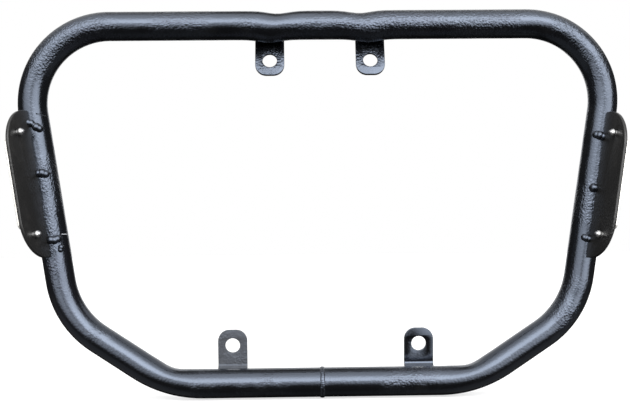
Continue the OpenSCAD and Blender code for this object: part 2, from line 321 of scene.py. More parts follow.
@dataclass(frozen=True)
class BlackCoat:
    """Black powder coat with a hammered texture that comes and goes along the steel.

    Attributes:
        name: Name of the material.
        shade: Colour where the coat is thick.
        dusty: Colour where it is thin or dusty.
        worn: Colour of a scratch through it.
        gloss: Roughness where the coat is smooth.
        rough: Roughness in the hammered patches.
        spread: Range of the small changes in roughness.
        spread_scale: Features of those changes in a metre.
        cell: Size of one pebble of the texture.
        softness: Softness of the pebbles.
        pebble_share: Height of the pebbles in the texture.
        grain: Grains across a pebble.
        grain_share: Their height in the texture.
        flow_scale: Waves of the flowing coat in a metre.
        flow_share: Their height in the texture.
        patch_scale: Hammered patches in a metre.
        patch_limits: Noise between which a patch comes in.
        dust_scale: Dusty patches in a metre.
        dust_limits: Noise between which the dust comes in.
        relief: Height of the pebbles in the strongest patches.
        calm: Share of that height in the smoothest patches.
        ior: Refractive index of the lacquer.
        sheen: Tint of its reflections, which paints the bluish colour of the sky light into the coat.
        drawn: Whether the steel under it shows lines along the tube.
        streak_scale: Those lines in a metre across the tube.
        streak_draw: Width of a line over its length.
        streak_share: Height of the lines in the texture.
        crease: Marks pressed into the coat.
        crease_depth: Depth of a crease, in pebbles.
        scratch: Marks that shine through it.
    """

    name: str
    shade: Colour = (0.003, 0.003, 0.0034)
    dusty: Colour = (0.006, 0.0061, 0.0064)
    worn: Colour = (0.45, 0.47, 0.5)
    gloss: float = 0.17
    rough: float = 0.24
    spread: float = 0.08
    spread_scale: float = 420.0
    cell: float = 1.8 * MM
    softness: float = 0.45
    pebble_share: float = 0.85
    grain: float = 1.9
    grain_share: float = 0.35
    flow_scale: float = 170.0
    flow_share: float = 0.5
    patch_scale: float = 16.0
    patch_limits: Span = (0.44, 0.62)
    dust_scale: float = 60.0
    dust_limits: Span = (0.5, 0.75)
    relief: float = 0.42 * MM
    calm: float = 0.18
    ior: float = 1.8
    # Painted light: a bluish tint on the reflections that stands for the colour of the sky light.
    sheen: Colour = (0.68, 0.79, 1.0)
    drawn: bool = False
    streak_scale: float = 800.0
    streak_draw: float = 0.07
    streak_share: float = 0.5
    crease: tuple[Mark, ...] = ()
    crease_depth: float = 1.2
    scratch: tuple[Mark, ...] = ()

    def streaks(self, graph: Graph) -> Wire:
        """Long fine lines along the tube, from the lengths and sections that the sweep stores.

        Args:
            graph: The material's graph.

        Returns:
            The lines' height.
        """
        along = graph.wire("ShaderNodeAttribute", {"attribute_name": "along"}, output="Fac")
        section = graph.wire("ShaderNodeAttribute", {"attribute_name": "section"}, output="Vector")
        x, y, _ = graph.split(section)
        place = graph.wire("ShaderNodeCombineXYZ", {}, {0: along * self.streak_draw, 1: x, 2: y})
        return graph.noise(place, self.streak_scale)

    def build(self) -> bpy.types.Material:
        """Makes the material.

        Returns:
            The new material.
        """
        material, graph, shader = new_material(self.name)
        place = graph.place()
        patches = graph.smooth(graph.noise(place, self.patch_scale, 3.0), *self.patch_limits)
        strength = self.calm + patches * (1.0 - self.calm)
        pebble = graph.pebbles(place, 1.0 / self.cell, self.softness)
        grain = graph.noise(place, self.grain / self.cell, 2.0, 0.55)
        flow = graph.noise(place, self.flow_scale)
        height = (1.0 - pebble) * self.pebble_share + grain * self.grain_share + flow * self.flow_share
        if self.drawn:
            height = height + self.streaks(graph) * self.streak_share
        pressed = height * strength
        for mark in self.crease:
            pressed = pressed - mark.mask(graph) * self.crease_depth
        dust = graph.smooth(graph.noise(place, self.dust_scale, 4.0, 0.6), *self.dust_limits)
        colour = graph.tint(dust, self.shade, self.dusty)
        for mark in self.scratch:
            colour = graph.tint(mark.mask(graph), colour, self.worn)
        uneven = (graph.noise(place, self.spread_scale) - 0.5) * self.spread
        sockets = {
            "Base Color": colour,
            "Roughness": self.gloss + patches * (self.rough - self.gloss) + uneven,
            "IOR": self.ior,
            # The reflections take the painted bluish tint of the sky light.
            "Specular Tint": (*self.sheen, 1.0),
            "Normal": graph.bump(pressed, self.relief),
        }
        graph.feed(shader, sockets)
        return material


@dataclass(frozen=True)
class BrushedSheet:
    """Satin sheet steel, brushed along the badge.

    Attributes:
        name: Name of the material.
        lean: Turn about Y that lays the badge's length along the brush.
        bright: Colour on the brushed crests.
        dull: Colour in the worn patches.
        metal: Share of it that mirrors, while the rest scatters light like a satin finish.
        rough: Roughness of the clean crests.
        line_scale: Brush lines in a metre.
        line_draw: Width of a line over its length.
        line_rough: Roughness that the lines add.
        blotch_scale: Worn patches in a metre.
        blotch_limits: Noise between which a worn patch comes in.
        blotch_share: Share of the dull colour that the patches give, while the lines give the rest.
        blotch_rough: Roughness that the patches add.
        relief: Depth of the lines.
    """

    name: str
    lean: float
    bright: Colour = (0.8, 0.785, 0.74)
    dull: Colour = (0.62, 0.605, 0.565)
    metal: float = 0.72
    rough: float = 0.24
    line_scale: float = 3200.0
    line_draw: float = 0.03
    line_rough: float = 0.22
    blotch_scale: float = 90.0
    blotch_limits: Span = (0.4, 0.7)
    blotch_share: float = 0.6
    blotch_rough: float = 0.1
    relief: float = 0.02 * MM

    def build(self) -> bpy.types.Material:
        """Makes the material.

        Returns:
            The new material.
        """
        material, graph, shader = new_material(self.name)
        place = graph.place()
        turned = graph.wire("ShaderNodeMapping", {}, {"Vector": place, "Rotation": (0.0, self.lean, 0.0)})
        drawn = graph.wire("ShaderNodeMapping", {}, {"Vector": turned, "Scale": (1.0, 1.0, self.line_draw)})
        lines = graph.noise(drawn, self.line_scale, 3.0, 0.7)
        blotch = graph.smooth(graph.noise(place, self.blotch_scale, 3.0), *self.blotch_limits)
        worn = blotch * self.blotch_share + lines * (1.0 - self.blotch_share)
        sockets = {
            "Base Color": graph.tint(worn, self.bright, self.dull),
            "Metallic": self.metal,
            "Roughness": lines * self.line_rough + blotch * self.blotch_rough + self.rough,
            "Normal": graph.bump(lines, self.relief, 0.5),
        }
        graph.feed(shader, sockets)
        return material


@dataclass(frozen=True)
class PlainMetal:
    """Bare metal of a small fastener, with fine marks and some grime.

    Attributes:
        name: Name of the material.
        bright: Colour of the clean metal.
        grime: Colour of the dirt in its hollows.
        rough: Mean roughness.
        mark_scale: Fine marks in a metre.
        mark_rough: Range of the roughness over the marks.
        dirt_scale: Patches of dirt in a metre.
        dirt_limits: Noise between which the dirt comes in.
        dirt_share: Share of the grime's colour in the dirt.
        dirt_rough: Roughness that the dirt adds.
        relief: Depth of the marks.
    """

    name: str
    bright: Colour
    grime: Colour
    rough: float
    mark_scale: float = 1500.0
    mark_rough: float = 0.2
    dirt_scale: float = 520.0
    dirt_limits: Span = (0.55, 0.75)
    dirt_share: float = 0.7
    dirt_rough: float = 0.15
    relief: float = 0.03 * MM

    def build(self) -> bpy.types.Material:
        """Makes the material.

        Returns:
            The new material.
        """
        material, graph, shader = new_material(self.name)
        place = graph.place()
        marks = graph.noise(place, self.mark_scale, 3.0, 0.6)
        dirt = graph.smooth(graph.noise(place, self.dirt_scale), *self.dirt_limits)
        clean_rough = self.rough - self.mark_rough / 2
        sockets = {
            "Base Color": graph.tint(dirt * self.dirt_share, self.bright, self.grime),
            "Metallic": 1.0,
            "Roughness": marks * self.mark_rough + dirt * self.dirt_rough + clean_rough,
            "Normal": graph.bump(marks, self.relief, 0.6),
        }
        graph.feed(shader, sockets)
        return material


def new_material(name: str) -> tuple[bpy.types.Material, Graph, bpy.types.Node]:
    """Makes an empty material with one Principled shader.

    Args:
        name: Name of the material.

    Returns:
        The material, its graph and its shader.
    """
    material = bpy.data.materials.new(name)
    material.use_nodes = True
    material.node_tree.nodes.clear()
    graph = Graph(material.node_tree)
    shader = graph.node("ShaderNodeBsdfPrincipled")
    graph.node("ShaderNodeOutputMaterial", {}, {"Surface": Wire(graph, shader.outputs[0])})
    return material, graph, shader


def new_object(name: str, data: bpy.types.ID) -> bpy.types.Object:
    """Puts a mesh, curve or camera into the scene at the origin.

    Args:
        name: Name of the object.
        data: What it shows.

    Returns:
        The new object.
    """
    made = bpy.data.objects.new(name, data)
    bpy.context.scene.collection.objects.link(made)
    return made


def discard(made: bpy.types.Object) -> None:
    """Removes a mesh or curve object with its data.

    Args:
        made: The object.
    """
    data = made.data
    store = bpy.data.curves if made.type == "CURVE" else bpy.data.meshes
    bpy.data.objects.remove(made)
    store.remove(data)


def baked(source: bpy.types.Object) -> bpy.types.Mesh:
    """Plain mesh of an object with its modifiers.

    Args:
        source: The object, which is removed with its own data.

    Returns:
        The evaluated mesh.
    """
    graph = bpy.context.evaluated_depsgraph_get()
    mesh = bpy.data.meshes.new_from_object(source.evaluated_get(graph), depsgraph=graph)
    discard(source)
    return mesh


def finish_mesh(mesh: bpy.types.Mesh, sharp: float = 35.0) -> None:
    """Merges doubles, turns all faces outwards and shades them smooth up to an angle.

    Args:
        mesh: The mesh.
        sharp: Angle in degrees above which an edge stays sharp.
    """
    work = bmesh.new()
    work.from_mesh(mesh)
    bmesh.ops.remove_doubles(work, verts=work.verts, dist=1e-6)
    bmesh.ops.recalc_face_normals(work, faces=work.faces)
    for face in work.faces:
        face.smooth = True
    limit = math.radians(sharp)
    for edge in work.edges:
        edge.smooth = len(edge.link_faces) == 2 and edge.calc_face_angle(0.0) < limit
    work.to_mesh(mesh)
    work.free()


def arc(centre: Point2, radius: float, start: float, end: float, steps: int) -> list[Point2]:
    """Points of an arc, its ends among them. Angles are in degrees.

    Args:
        centre: Its centre.
        radius: Its radius.
        start: Its first angle.
        end: Its last angle.
        steps: Its number of steps.

    Returns:
        The points.
    """
    turns = [math.radians(start + (end - start) / steps * i) for i in range(steps + 1)]
    return [(centre[0] + radius * math.cos(turn), centre[1] + radius * math.sin(turn)) for turn in turns]


def cut_sheet(
    outline: Sequence[Point2], holes: Iterable[Sequence[Point2]], thickness: float, edge: float
) -> bpy.types.Mesh:
    """Sheet in the XY plane with rounded edges, its middle at Z 0.

    Args:
        outline: Its outline.
        holes: The outlines of its holes.
        thickness: Its thickness.
        edge: Radius of its edges.

    Returns:
        The sheet's mesh.
    """
    curve = bpy.data.curves.new("sheet", "CURVE")
    curve.dimensions, curve.fill_mode = "2D", "BOTH"
    curve.extrude, curve.bevel_depth, curve.bevel_resolution = thickness / 2 - edge, edge, 2
    curve.offset = -edge
    for loop in (outline, *holes):
        spline = curve.splines.new("POLY")
        spline.points.add(len(loop) - 1)
        for point, (x, y) in zip(spline.points, loop):
            point.co = (x, y, 0.0, 1.0)
        spline.use_cyclic_u = True
    made = new_object("sheet", curve)
    bpy.context.view_layer.update()
    mesh = baked(made)
    finish_mesh(mesh)
    return mesh


def point_mesh(name: str, places: Iterable[Vector], vectors: dict[str, Iterable[Vector]]) -> bpy.types.Object:
    """Object with a point at each place, and vectors that the points carry.

    Args:
        name: Name of the object.
        places: Places of the points.
        vectors: Vectors of all the points, by name.

    Returns:
        The object.
    """
    mesh = bpy.data.meshes.new(name)
    mesh.from_pydata(list(places), [], [])
    for key, values in vectors.items():
        for entry, value in zip(mesh.attributes.new(key, "FLOAT_VECTOR", "POINT").data, values):
            entry.vector = value
    return new_object(name, mesh)


def add_piece(
    name: str,
    mesh: bpy.types.Mesh,
    finish: bpy.types.Material,
    nodes: Sequence[str],
    sharp: float = 35.0,
) -> None:
    """Adds a mesh as a finished piece that rides on the body.

    Args:
        name: Name of the piece.
        mesh: Its mesh, in the object's frame.
        finish: Its material.
        nodes: The CAD nodes it replaces.
        sharp: Angle in degrees above which an edge stays sharp.
    """
    finish_mesh(mesh, sharp)
    mesh.materials.clear()
    mesh.materials.append(finish)
    piece = new_object(name, mesh)
    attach(piece, BODY)
    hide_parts(*nodes)
    LOG.info("%s: %d faces, replaces %s", piece.name, len(mesh.polygons), ", ".join(nodes))


@dataclass
class Ring:
    """The closed ring of bent tube.

    Attributes:
        tube_r: Radius of the tube.
        width: Width across the shoulders, outside the tube.
        height: Height outside the tube.
        lean: Lean of the side bars, in radians.
        knee_rise: Rise of the knees above the bottom bar.
        foot_w: Distance between the foot corners.
        shoulder_r: Bend radius at the shoulders.
        knee_r: Bend radius at the knees.
        foot_r: Bend radius at the feet.
        foot_press: Depth that the bending has pressed the feet's inner side in by.
        foot_press_l: Half length of the pressed place.
        step: Length of one sweep step on the straights.
        bend_step: Turn of one sweep step in the bends, in degrees.
        sides: Faces round the tube.
        coat: Its finish.
    """

    tube_r: float = 12.7 * MM
    width: float = 526 * MM
    height: float = 338 * MM
    lean: float = math.radians(9.1)
    knee_rise: float = 58 * MM
    foot_w: float = 266 * MM
    shoulder_r: float = 67 * MM
    knee_r: float = 75 * MM
    foot_r: float = 100 * MM
    foot_press: float = 2.5 * MM
    foot_press_l: float = 12 * MM
    step: float = 5 * MM
    bend_step: float = 2.2
    sides: int = 72
    coat: BlackCoat = BlackCoat(
        "ring_coat",
        drawn=True,
        crease=(Mark((-241.0 * MM, 78.1 * MM), 7.5 * MM, 1.3 * MM, math.radians(-8)),),
        scratch=(Mark((-221.2 * MM, -25.3 * MM), 6.0 * MM, 0.8 * MM),),
    )

    @property
    def top_z(self) -> float:
        """Height of the top bar's centreline over the middle."""
        return (self.height - 2 * self.tube_r) / 2

    @property
    def shoulder_x(self) -> float:
        """Distance from the middle to where the centrelines of the top bar and a side bar cross."""
        turn = math.pi / 2 + self.lean
        return self.width / 2 - self.tube_r - self.shoulder_r + self.shoulder_r * math.tan(turn / 2)

    def side_x(self, down: float) -> float:
        """Distance of a side bar's centreline from the middle, at a drop below the top bar."""
        return self.shoulder_x - down * math.tan(self.lean)

    def corners(self) -> list[tuple[Vector, float]]:
        """Corners of the centreline with their bend radii, clockwise from the right shoulder.

        Returns:
            The corners and their radii.
        """
        top = self.top_z
        right = [
            (Vector((self.shoulder_x, 0.0, top)), self.shoulder_r),
            (Vector((self.side_x(2 * top - self.knee_rise), 0.0, self.knee_rise - top)), self.knee_r),
            (Vector((self.foot_w / 2, 0.0, -top)), self.foot_r),
        ]
        left = [(Vector((-p.x, 0.0, p.z)), r) for p, r in reversed(right)]
        return right + left

    def centreline(self) -> list[Vector]:
        """Points of the centreline, from the seam round.

        Returns:
            The points, without the seam's once more at the end.
        """
        corners = self.corners()
        order = corners[3:] + corners[:3]
        previous = Vector((0.0, 0.0, -self.top_z))
        line = [previous]
        for i, (corner, radius) in enumerate(order):
            after = order[(i + 1) % len(order)][0]
            back, on = (previous - corner).normalized(), (after - corner).normalized()
            turn = math.pi - back.angle(on)
            cut = radius * math.tan(turn / 2)
            start, end = corner + back * cut, corner + on * cut
            hub = corner + (back + on).normalized() * (radius / math.cos(turn / 2))
            self._straight(line, start)
            steps = max(6, round(math.degrees(turn) / self.bend_step))
            line += [hub + self._slerp(start - hub, end - hub, k / steps, turn) for k in range(1, steps)]
            line.append(end)
            previous = corner
        self._straight(line, line[0])
        line.pop()
        return line

    def _straight(self, line: list[Vector], end: Vector) -> None:
        """Adds the points of a straight from the line's last point to an end.

        Args:
            line: The points so far, which the new ones are added to.
            end: Where the straight ends.
        """
        start = line[-1]
        count = max(2, round((end - start).length / self.step))
        line += [start.lerp(end, k / count) for k in range(1, count + 1)]

    @staticmethod
    def _slerp(a: Vector, b: Vector, share: float, turn: float) -> Vector:
        """Point of an arc between two radii at a share of its turn."""
        return (a * math.sin((1 - share) * turn) + b * math.sin(share * turn)) / math.sin(turn)

    def sweep(self) -> PieceTree:
        """Tree that sweeps a circle round the line of its mesh.

        Returns:
            The tree.
        """
        graph = PieceTree("sweep_tube", {"Line": "Geometry", "Radius": "Float", "Sides": "Int"})
        path = graph.wire("GeometryNodeMeshToCurve", {}, {"Mesh": graph.given("Line")})
        run = graph.wire("GeometryNodeSplineParameter", output="Length")
        along = {"Geometry": path, "Name": "along", "Value": run}
        number, vector = ({"data_type": kind, "domain": "POINT"} for kind in ("FLOAT", "FLOAT_VECTOR"))
        marked = graph.wire("GeometryNodeStoreNamedAttribute", number, along)
        sizes = {"Resolution": graph.given("Sides"), "Radius": graph.given("Radius")}
        circle = graph.wire("GeometryNodeCurvePrimitiveCircle", {"mode": "RADIUS"}, sizes)
        section = {"Geometry": circle, "Name": "section", "Value": graph.wire("GeometryNodeInputPosition")}
        profile = graph.wire("GeometryNodeStoreNamedAttribute", vector, section)
        graph.end(graph.wire("GeometryNodeCurveToMesh", {}, {"Curve": marked, "Profile Curve": profile}))
        return graph

    def press_feet(self, mesh: bpy.types.Mesh) -> None:
        """Presses the inner side of both foot bends in, as bending without a mandrel does.

        Args:
            mesh: The tube's mesh.
        """
        corners = [corner for corner, _ in self.corners()]
        for foot, knee in ((corners[2], corners[1]), (corners[3], corners[4])):
            back = (knee - foot).normalized()
            on = Vector((-math.copysign(1.0, foot.x), 0.0, 0.0))
            inward = (back + on).normalized()
            along = Vector((inward.z, 0.0, -inward.x))
            half_turn = (math.pi - back.angle(on)) / 2
            middle = foot + inward * (self.foot_r / math.cos(half_turn) - self.foot_r)
            for vertex in mesh.vertices:
                arm = vertex.co - middle
                share = max(0.0, arm.dot(inward) / self.tube_r)
                fade = math.exp(-((arm.dot(along) / self.foot_press_l) ** 2))
                vertex.co -= inward * (self.foot_press * fade * min(1.0, share) ** 2)

    def build(self) -> None:
        """Sweeps the ring and dresses it."""
        line = self.centreline()
        mesh = bpy.data.meshes.new("ring_line")
        mesh.from_pydata(line, [(i, (i + 1) % len(line)) for i in range(len(line))], [])
        source = new_object("ring_line", mesh)
        coat = self.coat.build()
        self.sweep().put_on(source, {"Radius": self.tube_r, "Sides": self.sides, "Finish": coat})
        swept = baked(source)
        self.press_feet(swept)
        add_piece("ring_tube_coated", swept, coat, ["ring_tube"], sharp=60.0)


@dataclass
class SidePlates:
    """The plates that stand forward on the side bars.

    Attributes:
        ring: The ring that carries them.
        length: Length along the bar.
        reach: Reach beyond the tube's surface.
        thickness: Thickness of the plate.
        corner: Radius of the two free corners.
        edge: Radius of the cut edges.
        splay: Mean outward splay, in degrees.
        skew: How much more the left one is splayed than the mean, in degrees.
        drop: Mean drop of the middle below the top bar.
        stagger: How much higher than the mean the left one sits.
        rivet_rise: Height of the rivets above the tube's surface.
        rivet_gap: Distance between the rivets.
        hole_r: Radius of the rivet holes.
        sink: How far the plate runs into the tube's surface.
        coat: Its finish.
    """

    ring: Ring
    length: float = 128 * MM
    reach: float = 37 * MM
    thickness: float = 3 * MM
    corner: float = 33 * MM
    edge: float = 0.8 * MM
    splay: float = 14.0
    skew: float = 2.5
    drop: float = 140.5 * MM
    stagger: float = 2.75 * MM
    rivet_rise: float = 21.5 * MM
    rivet_gap: float = 87 * MM
    hole_r: float = 2.45 * MM
    sink: float = 1.2 * MM
    coat: BlackCoat = BlackCoat(
        "plate_coat",
        shade=(0.013, 0.0128, 0.0128),
        dusty=(0.02, 0.0195, 0.019),
        gloss=0.34,
        rough=0.4,
        relief=0.45 * MM,
        ior=1.42,
        sheen=(1.0, 1.0, 1.0),
    )

    @property
    def rivet_x(self) -> float:
        """Distance of the rivets from the bar's axis."""
        return self.ring.tube_r + self.rivet_rise

    def frame_of(self, side: Side) -> Matrix:
        """Frame of a plate: +X away from the bar, +Y up the bar and -Z out of the outer face.

        Args:
            side: Which plate.

        Returns:
            The matrix from that frame to the object's.
        """
        down = self.drop + side.value * self.stagger
        splay = self.splay - side.value * self.skew
        flip = Matrix.Diagonal((side.value, 1.0, 1.0, 1.0))
        stand = Matrix.Rotation(math.pi / 2, 4, "X")
        seat = Matrix.Translation((self.ring.side_x(down), self.ring.top_z - down, 0.0))
        leaning = Matrix.Rotation(-self.ring.lean, 4, "Z")
        splayed = Matrix.Rotation(math.radians(splay - 90.0), 4, "Y")
        return flip @ stand @ seat @ leaning @ splayed

    def outline(self) -> list[Point2]:
        """Outline of a plate, anticlockwise from its lower end at the bar.

        Returns:
            The outline's points.
        """
        base, tip, half = self.ring.tube_r - self.sink, self.ring.tube_r + self.reach, self.length / 2
        round_x, round_y = tip - self.corner, half - self.corner
        return [
            (base, -half),
            *arc((round_x, -round_y), self.corner, -90, 0, 24),
            *arc((round_x, round_y), self.corner, 0, 90, 24),
            (base, half),
        ]

    def build(self) -> None:
        """Cuts both plates and dresses them."""
        coat = self.coat.build()
        ends = (-self.rivet_gap / 2, self.rivet_gap / 2)
        for side in Side:
            holes = [arc((self.rivet_x, end), self.hole_r, 0, 345, 23) for end in ends]
            mesh = cut_sheet(self.outline(), holes, self.thickness, self.edge)
            mesh.transform(self.frame_of(side))
            add_piece(f"{side.word}_plate_coated", mesh, coat, [f"{side.word}_side_plate"])


@dataclass
class Badges:
    """The sheet badges on the plates' outer faces.

    Attributes:
        plates: The plates that carry them.
        length: Length of a badge's body.
        height: Height of the body.
        thickness: Thickness of the sheet.
        corner: Corner radius of the body.
        ear_r: Radius of the ears round the rivets.
        slots: Number of slanted slots.
        slot_l: Length of a slot.
        slot_w: Width of a slot.
        margin: Length left beside the slots, in their pitches.
        slant: Slant of the slots, in degrees.
        edge: Radius of the cut edges.
    """

    plates: SidePlates
    length: float = 76 * MM
    height: float = 30 * MM
    thickness: float = 1.5 * MM
    corner: float = 4 * MM
    ear_r: float = 7 * MM
    slots: int = 6
    slot_l: float = 22 * MM
    slot_w: float = 5.4 * MM
    margin: float = 0.6
    slant: float = 18.0
    edge: float = 0.25 * MM

    def outline(self) -> list[Point2]:
        """Outline of a badge about the middle of its plate's rivets, anticlockwise.

        Returns:
            The outline's points.
        """
        half_h, half_l, gap = self.height / 2, self.length / 2, self.plates.rivet_gap / 2
        inner_h, inner_l = half_h - self.corner, half_l - self.corner
        spread = math.degrees(math.acos((gap - half_l) / self.ear_r))
        return [
            *arc((inner_h, inner_l), self.corner, 0, 90, 8),
            *arc((0.0, gap), self.ear_r, spread - 90, 270 - spread, 28),
            *arc((-inner_h, inner_l), self.corner, 90, 180, 8),
            *arc((-inner_h, -inner_l), self.corner, 180, 270, 8),
            *arc((0.0, -gap), self.ear_r, 90 + spread, 450 - spread, 28),
            *arc((inner_h, -inner_l), self.corner, 270, 360, 8),
        ]

    def slot_outline(self, place: float) -> list[Point2]:
        """Outline of one slanted slot at a place along the badge.

        Args:
            place: Distance of the slot's middle from the badge's.

        Returns:
            The outline's points.
        """
        reach, radius = (self.slot_l - self.slot_w) / 2, self.slot_w / 2
        flat = [*arc((reach, 0.0), radius, -90, 90, 10), *arc((-reach, 0.0), radius, 90, 270, 10)]
        c, s = math.cos(math.radians(self.slant)), math.sin(math.radians(self.slant))
        return [(x * c - y * s, x * s + y * c + place) for x, y in flat]

    def build(self) -> None:
        """Cuts both badges and dresses them."""
        pitch = self.length / (self.slots + self.margin)
        slots = [self.slot_outline((i - (self.slots - 1) / 2) * pitch) for i in range(self.slots)]
        lift = -self.plates.thickness / 2 - self.thickness / 2
        for side in Side:
            mesh = cut_sheet(self.outline(), slots, self.thickness, self.edge)
            mesh.transform(self.plates.frame_of(side) @ Matrix.Translation((self.plates.rivet_x, 0.0, lift)))
            sheet = BrushedSheet(f"{side.word}_badge_steel", -side.value * self.plates.ring.lean).build()
            add_piece(f"{side.word}_badge_sheet", mesh, sheet, [f"{side.word}_badge"])


@dataclass(frozen=True)
class TabPlan:
    """Sizes of one pair of tabs, in their bar's frame: X along the bar, +Y back and +Z into the ring.

    Attributes:
        gap: Distance between the pair's bolt holes.
        shift: Offset of the pair to the right.
        hole_in: Distance of the holes from the bar's centreline.
        bend_in: Distance of the bend from that centreline.
        step: Step of the bend behind the ring's plane.
        tilt: Tilt of the flats towards the ring's plane, in degrees.
    """

    gap: float
    shift: float
    hole_in: float
    bend_in: float
    step: float
    tilt: float


@dataclass
class Tabs:
    """The four bent tabs that the guard is bolted on by.

    Attributes:
        ring: The ring that carries them.
        plans: Sizes of the upper and the lower pair.
        width: Width of the flat bar.
        thickness: Its thickness.
        hole_r: Radius of the bolt holes.
        end: Distance from a hole's middle to the free end.
        corner: Radius of the free end's corners.
        bend_r: Inside radius of the bend.
        facets: Flat facets of the bend.
        slope: Slope of the leg, in degrees.
        edge: Radius of the cut edges.
        sink: How far the leg runs into the tube.
        coats: Finish of each tab. Their gloss differs from tab to tab, as the thickness of the powder does;
            the lower left one is painted a lighter grey that stands for the light its flat catches.
    """

    ring: Ring
    plans: dict[Row, TabPlan] = field(
        default_factory=lambda: {
            Row.UPPER: TabPlan(90 * MM, 1.5 * MM, 28.5 * MM, 8 * MM, 21.5 * MM, 15.0),
            Row.LOWER: TabPlan(166 * MM, 4 * MM, 30.5 * MM, 12.5 * MM, 24 * MM, 6.0),
        }
    )
    width: float = 26 * MM
    thickness: float = 3 * MM
    hole_r: float = 6.5 * MM
    end: float = 14 * MM
    corner: float = 10 * MM
    bend_r: float = 3 * MM
    facets: int = 12
    slope: float = 45.0
    edge: float = 0.35 * MM
    sink: float = 3.5 * MM
    coats: dict[tuple[Row, Side], BlackCoat] = field(
        default_factory=lambda: {
            (Row.UPPER, Side.LEFT): BlackCoat("upper_left_tab_coat", gloss=0.24, rough=0.3),
            (Row.UPPER, Side.RIGHT): BlackCoat("upper_right_tab_coat", gloss=0.24, rough=0.3),
            (Row.LOWER, Side.LEFT): BlackCoat(
                "lower_left_tab_coat",
                # Painted light: this tab's lighter grey stands for the light that its flat catches.
                shade=(0.035, 0.036, 0.039),
                dusty=(0.055, 0.056, 0.06),
                gloss=0.42,
                rough=0.46,
                ior=1.5,
            ),
            (Row.LOWER, Side.RIGHT): BlackCoat(
                "lower_right_tab_coat", gloss=0.1, rough=0.12, relief=0.08 * MM
            ),
        }
    )

    def bar_frame(self, row: Row, side: Side) -> Matrix:
        """Frame of a tab's bar, from which the tab is drawn.

        Args:
            row: Which bar.
            side: Which of its tabs.

        Returns:
            The matrix from that frame to the object's.
        """
        plan = self.plans[row]
        seat = Matrix.Translation((plan.shift + side.value * plan.gap / 2, 0.0, row.value * self.ring.top_z))
        return seat @ Matrix.Diagonal((1.0, 1.0, -row.value, 1.0))

    def leg_length(self, plan: TabPlan) -> float:
        """Length of the leg from where it would cross the flat to inside the tube.

        Args:
            plan: The pair's sizes.

        Returns:
            The length.
        """
        slope = math.radians(self.slope)
        along = plan.step * math.sin(slope) + plan.bend_in * math.cos(slope)
        off = plan.step * math.cos(slope) - plan.bend_in * math.sin(slope)
        inside = self.ring.tube_r - self.sink
        return along - math.sqrt(max(inside**2 - off**2, 0.0))

    def bend(self, plan: TabPlan) -> tuple[float, float, float]:
        """Middle radius of the bend, its turn in radians, and the distance from its ends to its corner.

        Args:
            plan: The pair's sizes.

        Returns:
            The radius, the turn and the distance.
        """
        middle_r = self.bend_r + self.thickness / 2
        turn = math.radians(self.slope + plan.tilt)
        return middle_r, turn, middle_r * math.tan(turn / 2)

    def bent(self, plan: TabPlan, place: Vector) -> Vector:
        """Where a point of the flat blank goes when the tab is bent.

        Args:
            plan: The pair's sizes.
            place: Point of the blank: X across, Y along from the bend's end, Z through the sheet.

        Returns:
            The point in the bar's frame.
        """
        middle_r, turn, back = self.bend(plan)
        tilt, slope = math.radians(plan.tilt), math.radians(self.slope)
        flat_on = Vector((0.0, -math.sin(tilt), math.cos(tilt)))
        leg_on = Vector((0.0, math.sin(slope), math.cos(slope)))
        corner = Vector((0.0, plan.step, plan.bend_in))
        if place.y >= 0:
            heading, base = flat_on, corner + flat_on * (back + place.y)
        elif place.y <= -middle_r * turn:
            heading, base = leg_on, corner - leg_on * (back - middle_r * turn - place.y)
        else:
            turned = -place.y / middle_r
            heading = Matrix.Rotation(-turned, 3, "X") @ flat_on
            hub = corner + flat_on * back + Vector((0.0, -math.cos(tilt), -math.sin(tilt))) * middle_r
            base = hub + Vector((0.0, heading.z, -heading.y)) * middle_r
        normal = Vector((0.0, -heading.z, heading.y))
        return base + normal * place.z + Vector((place.x, 0.0, 0.0))

    def blank(self, plan: TabPlan) -> bpy.types.Mesh:
        """Flat blank of a tab, with extra edges where it will bend.

        Args:
            plan: The pair's sizes.

        Returns:
            The blank's mesh.
        """
        middle_r, turn, back = self.bend(plan)
        hole_y = (plan.hole_in - plan.bend_in) / math.cos(math.radians(plan.tilt)) - back
        tip, half = hole_y + self.end, self.width / 2
        start = -middle_r * turn - (self.leg_length(plan) - back)
        inner = half - self.corner
        outline = [
            (-half, start),
            (half, start),
            *arc((inner, tip - self.corner), self.corner, 0, 90, 16),
            *arc((-inner, tip - self.corner), self.corner, 90, 180, 16),
        ]
        mesh = cut_sheet(outline, [arc((0.0, hole_y), self.hole_r, 0, 352.5, 47)], self.thickness, self.edge)
        work = bmesh.new()
        work.from_mesh(mesh)
        for k in range(self.facets + 1):
            whole = work.verts[:] + work.edges[:] + work.faces[:]
            cut = (0.0, -middle_r * turn * k / self.facets, 0.0)
            bmesh.ops.bisect_plane(work, geom=whole, dist=1e-7, plane_co=cut, plane_no=(0.0, 1.0, 0.0))
        work.to_mesh(mesh)
        work.free()
        return mesh

    def build(self) -> None:
        """Cuts and bends the four tabs and dresses them."""
        for row, plan in self.plans.items():
            for side in Side:
                mesh = self.blank(plan)
                for vertex in mesh.vertices:
                    vertex.co = self.bent(plan, vertex.co.copy())
                mesh.transform(self.bar_frame(row, side))
                name, coat = f"{row.word}_{side.word}_tab", self.coats[row, side].build()
                add_piece(f"{name}_coated", mesh, coat, [name], sharp=32.0)


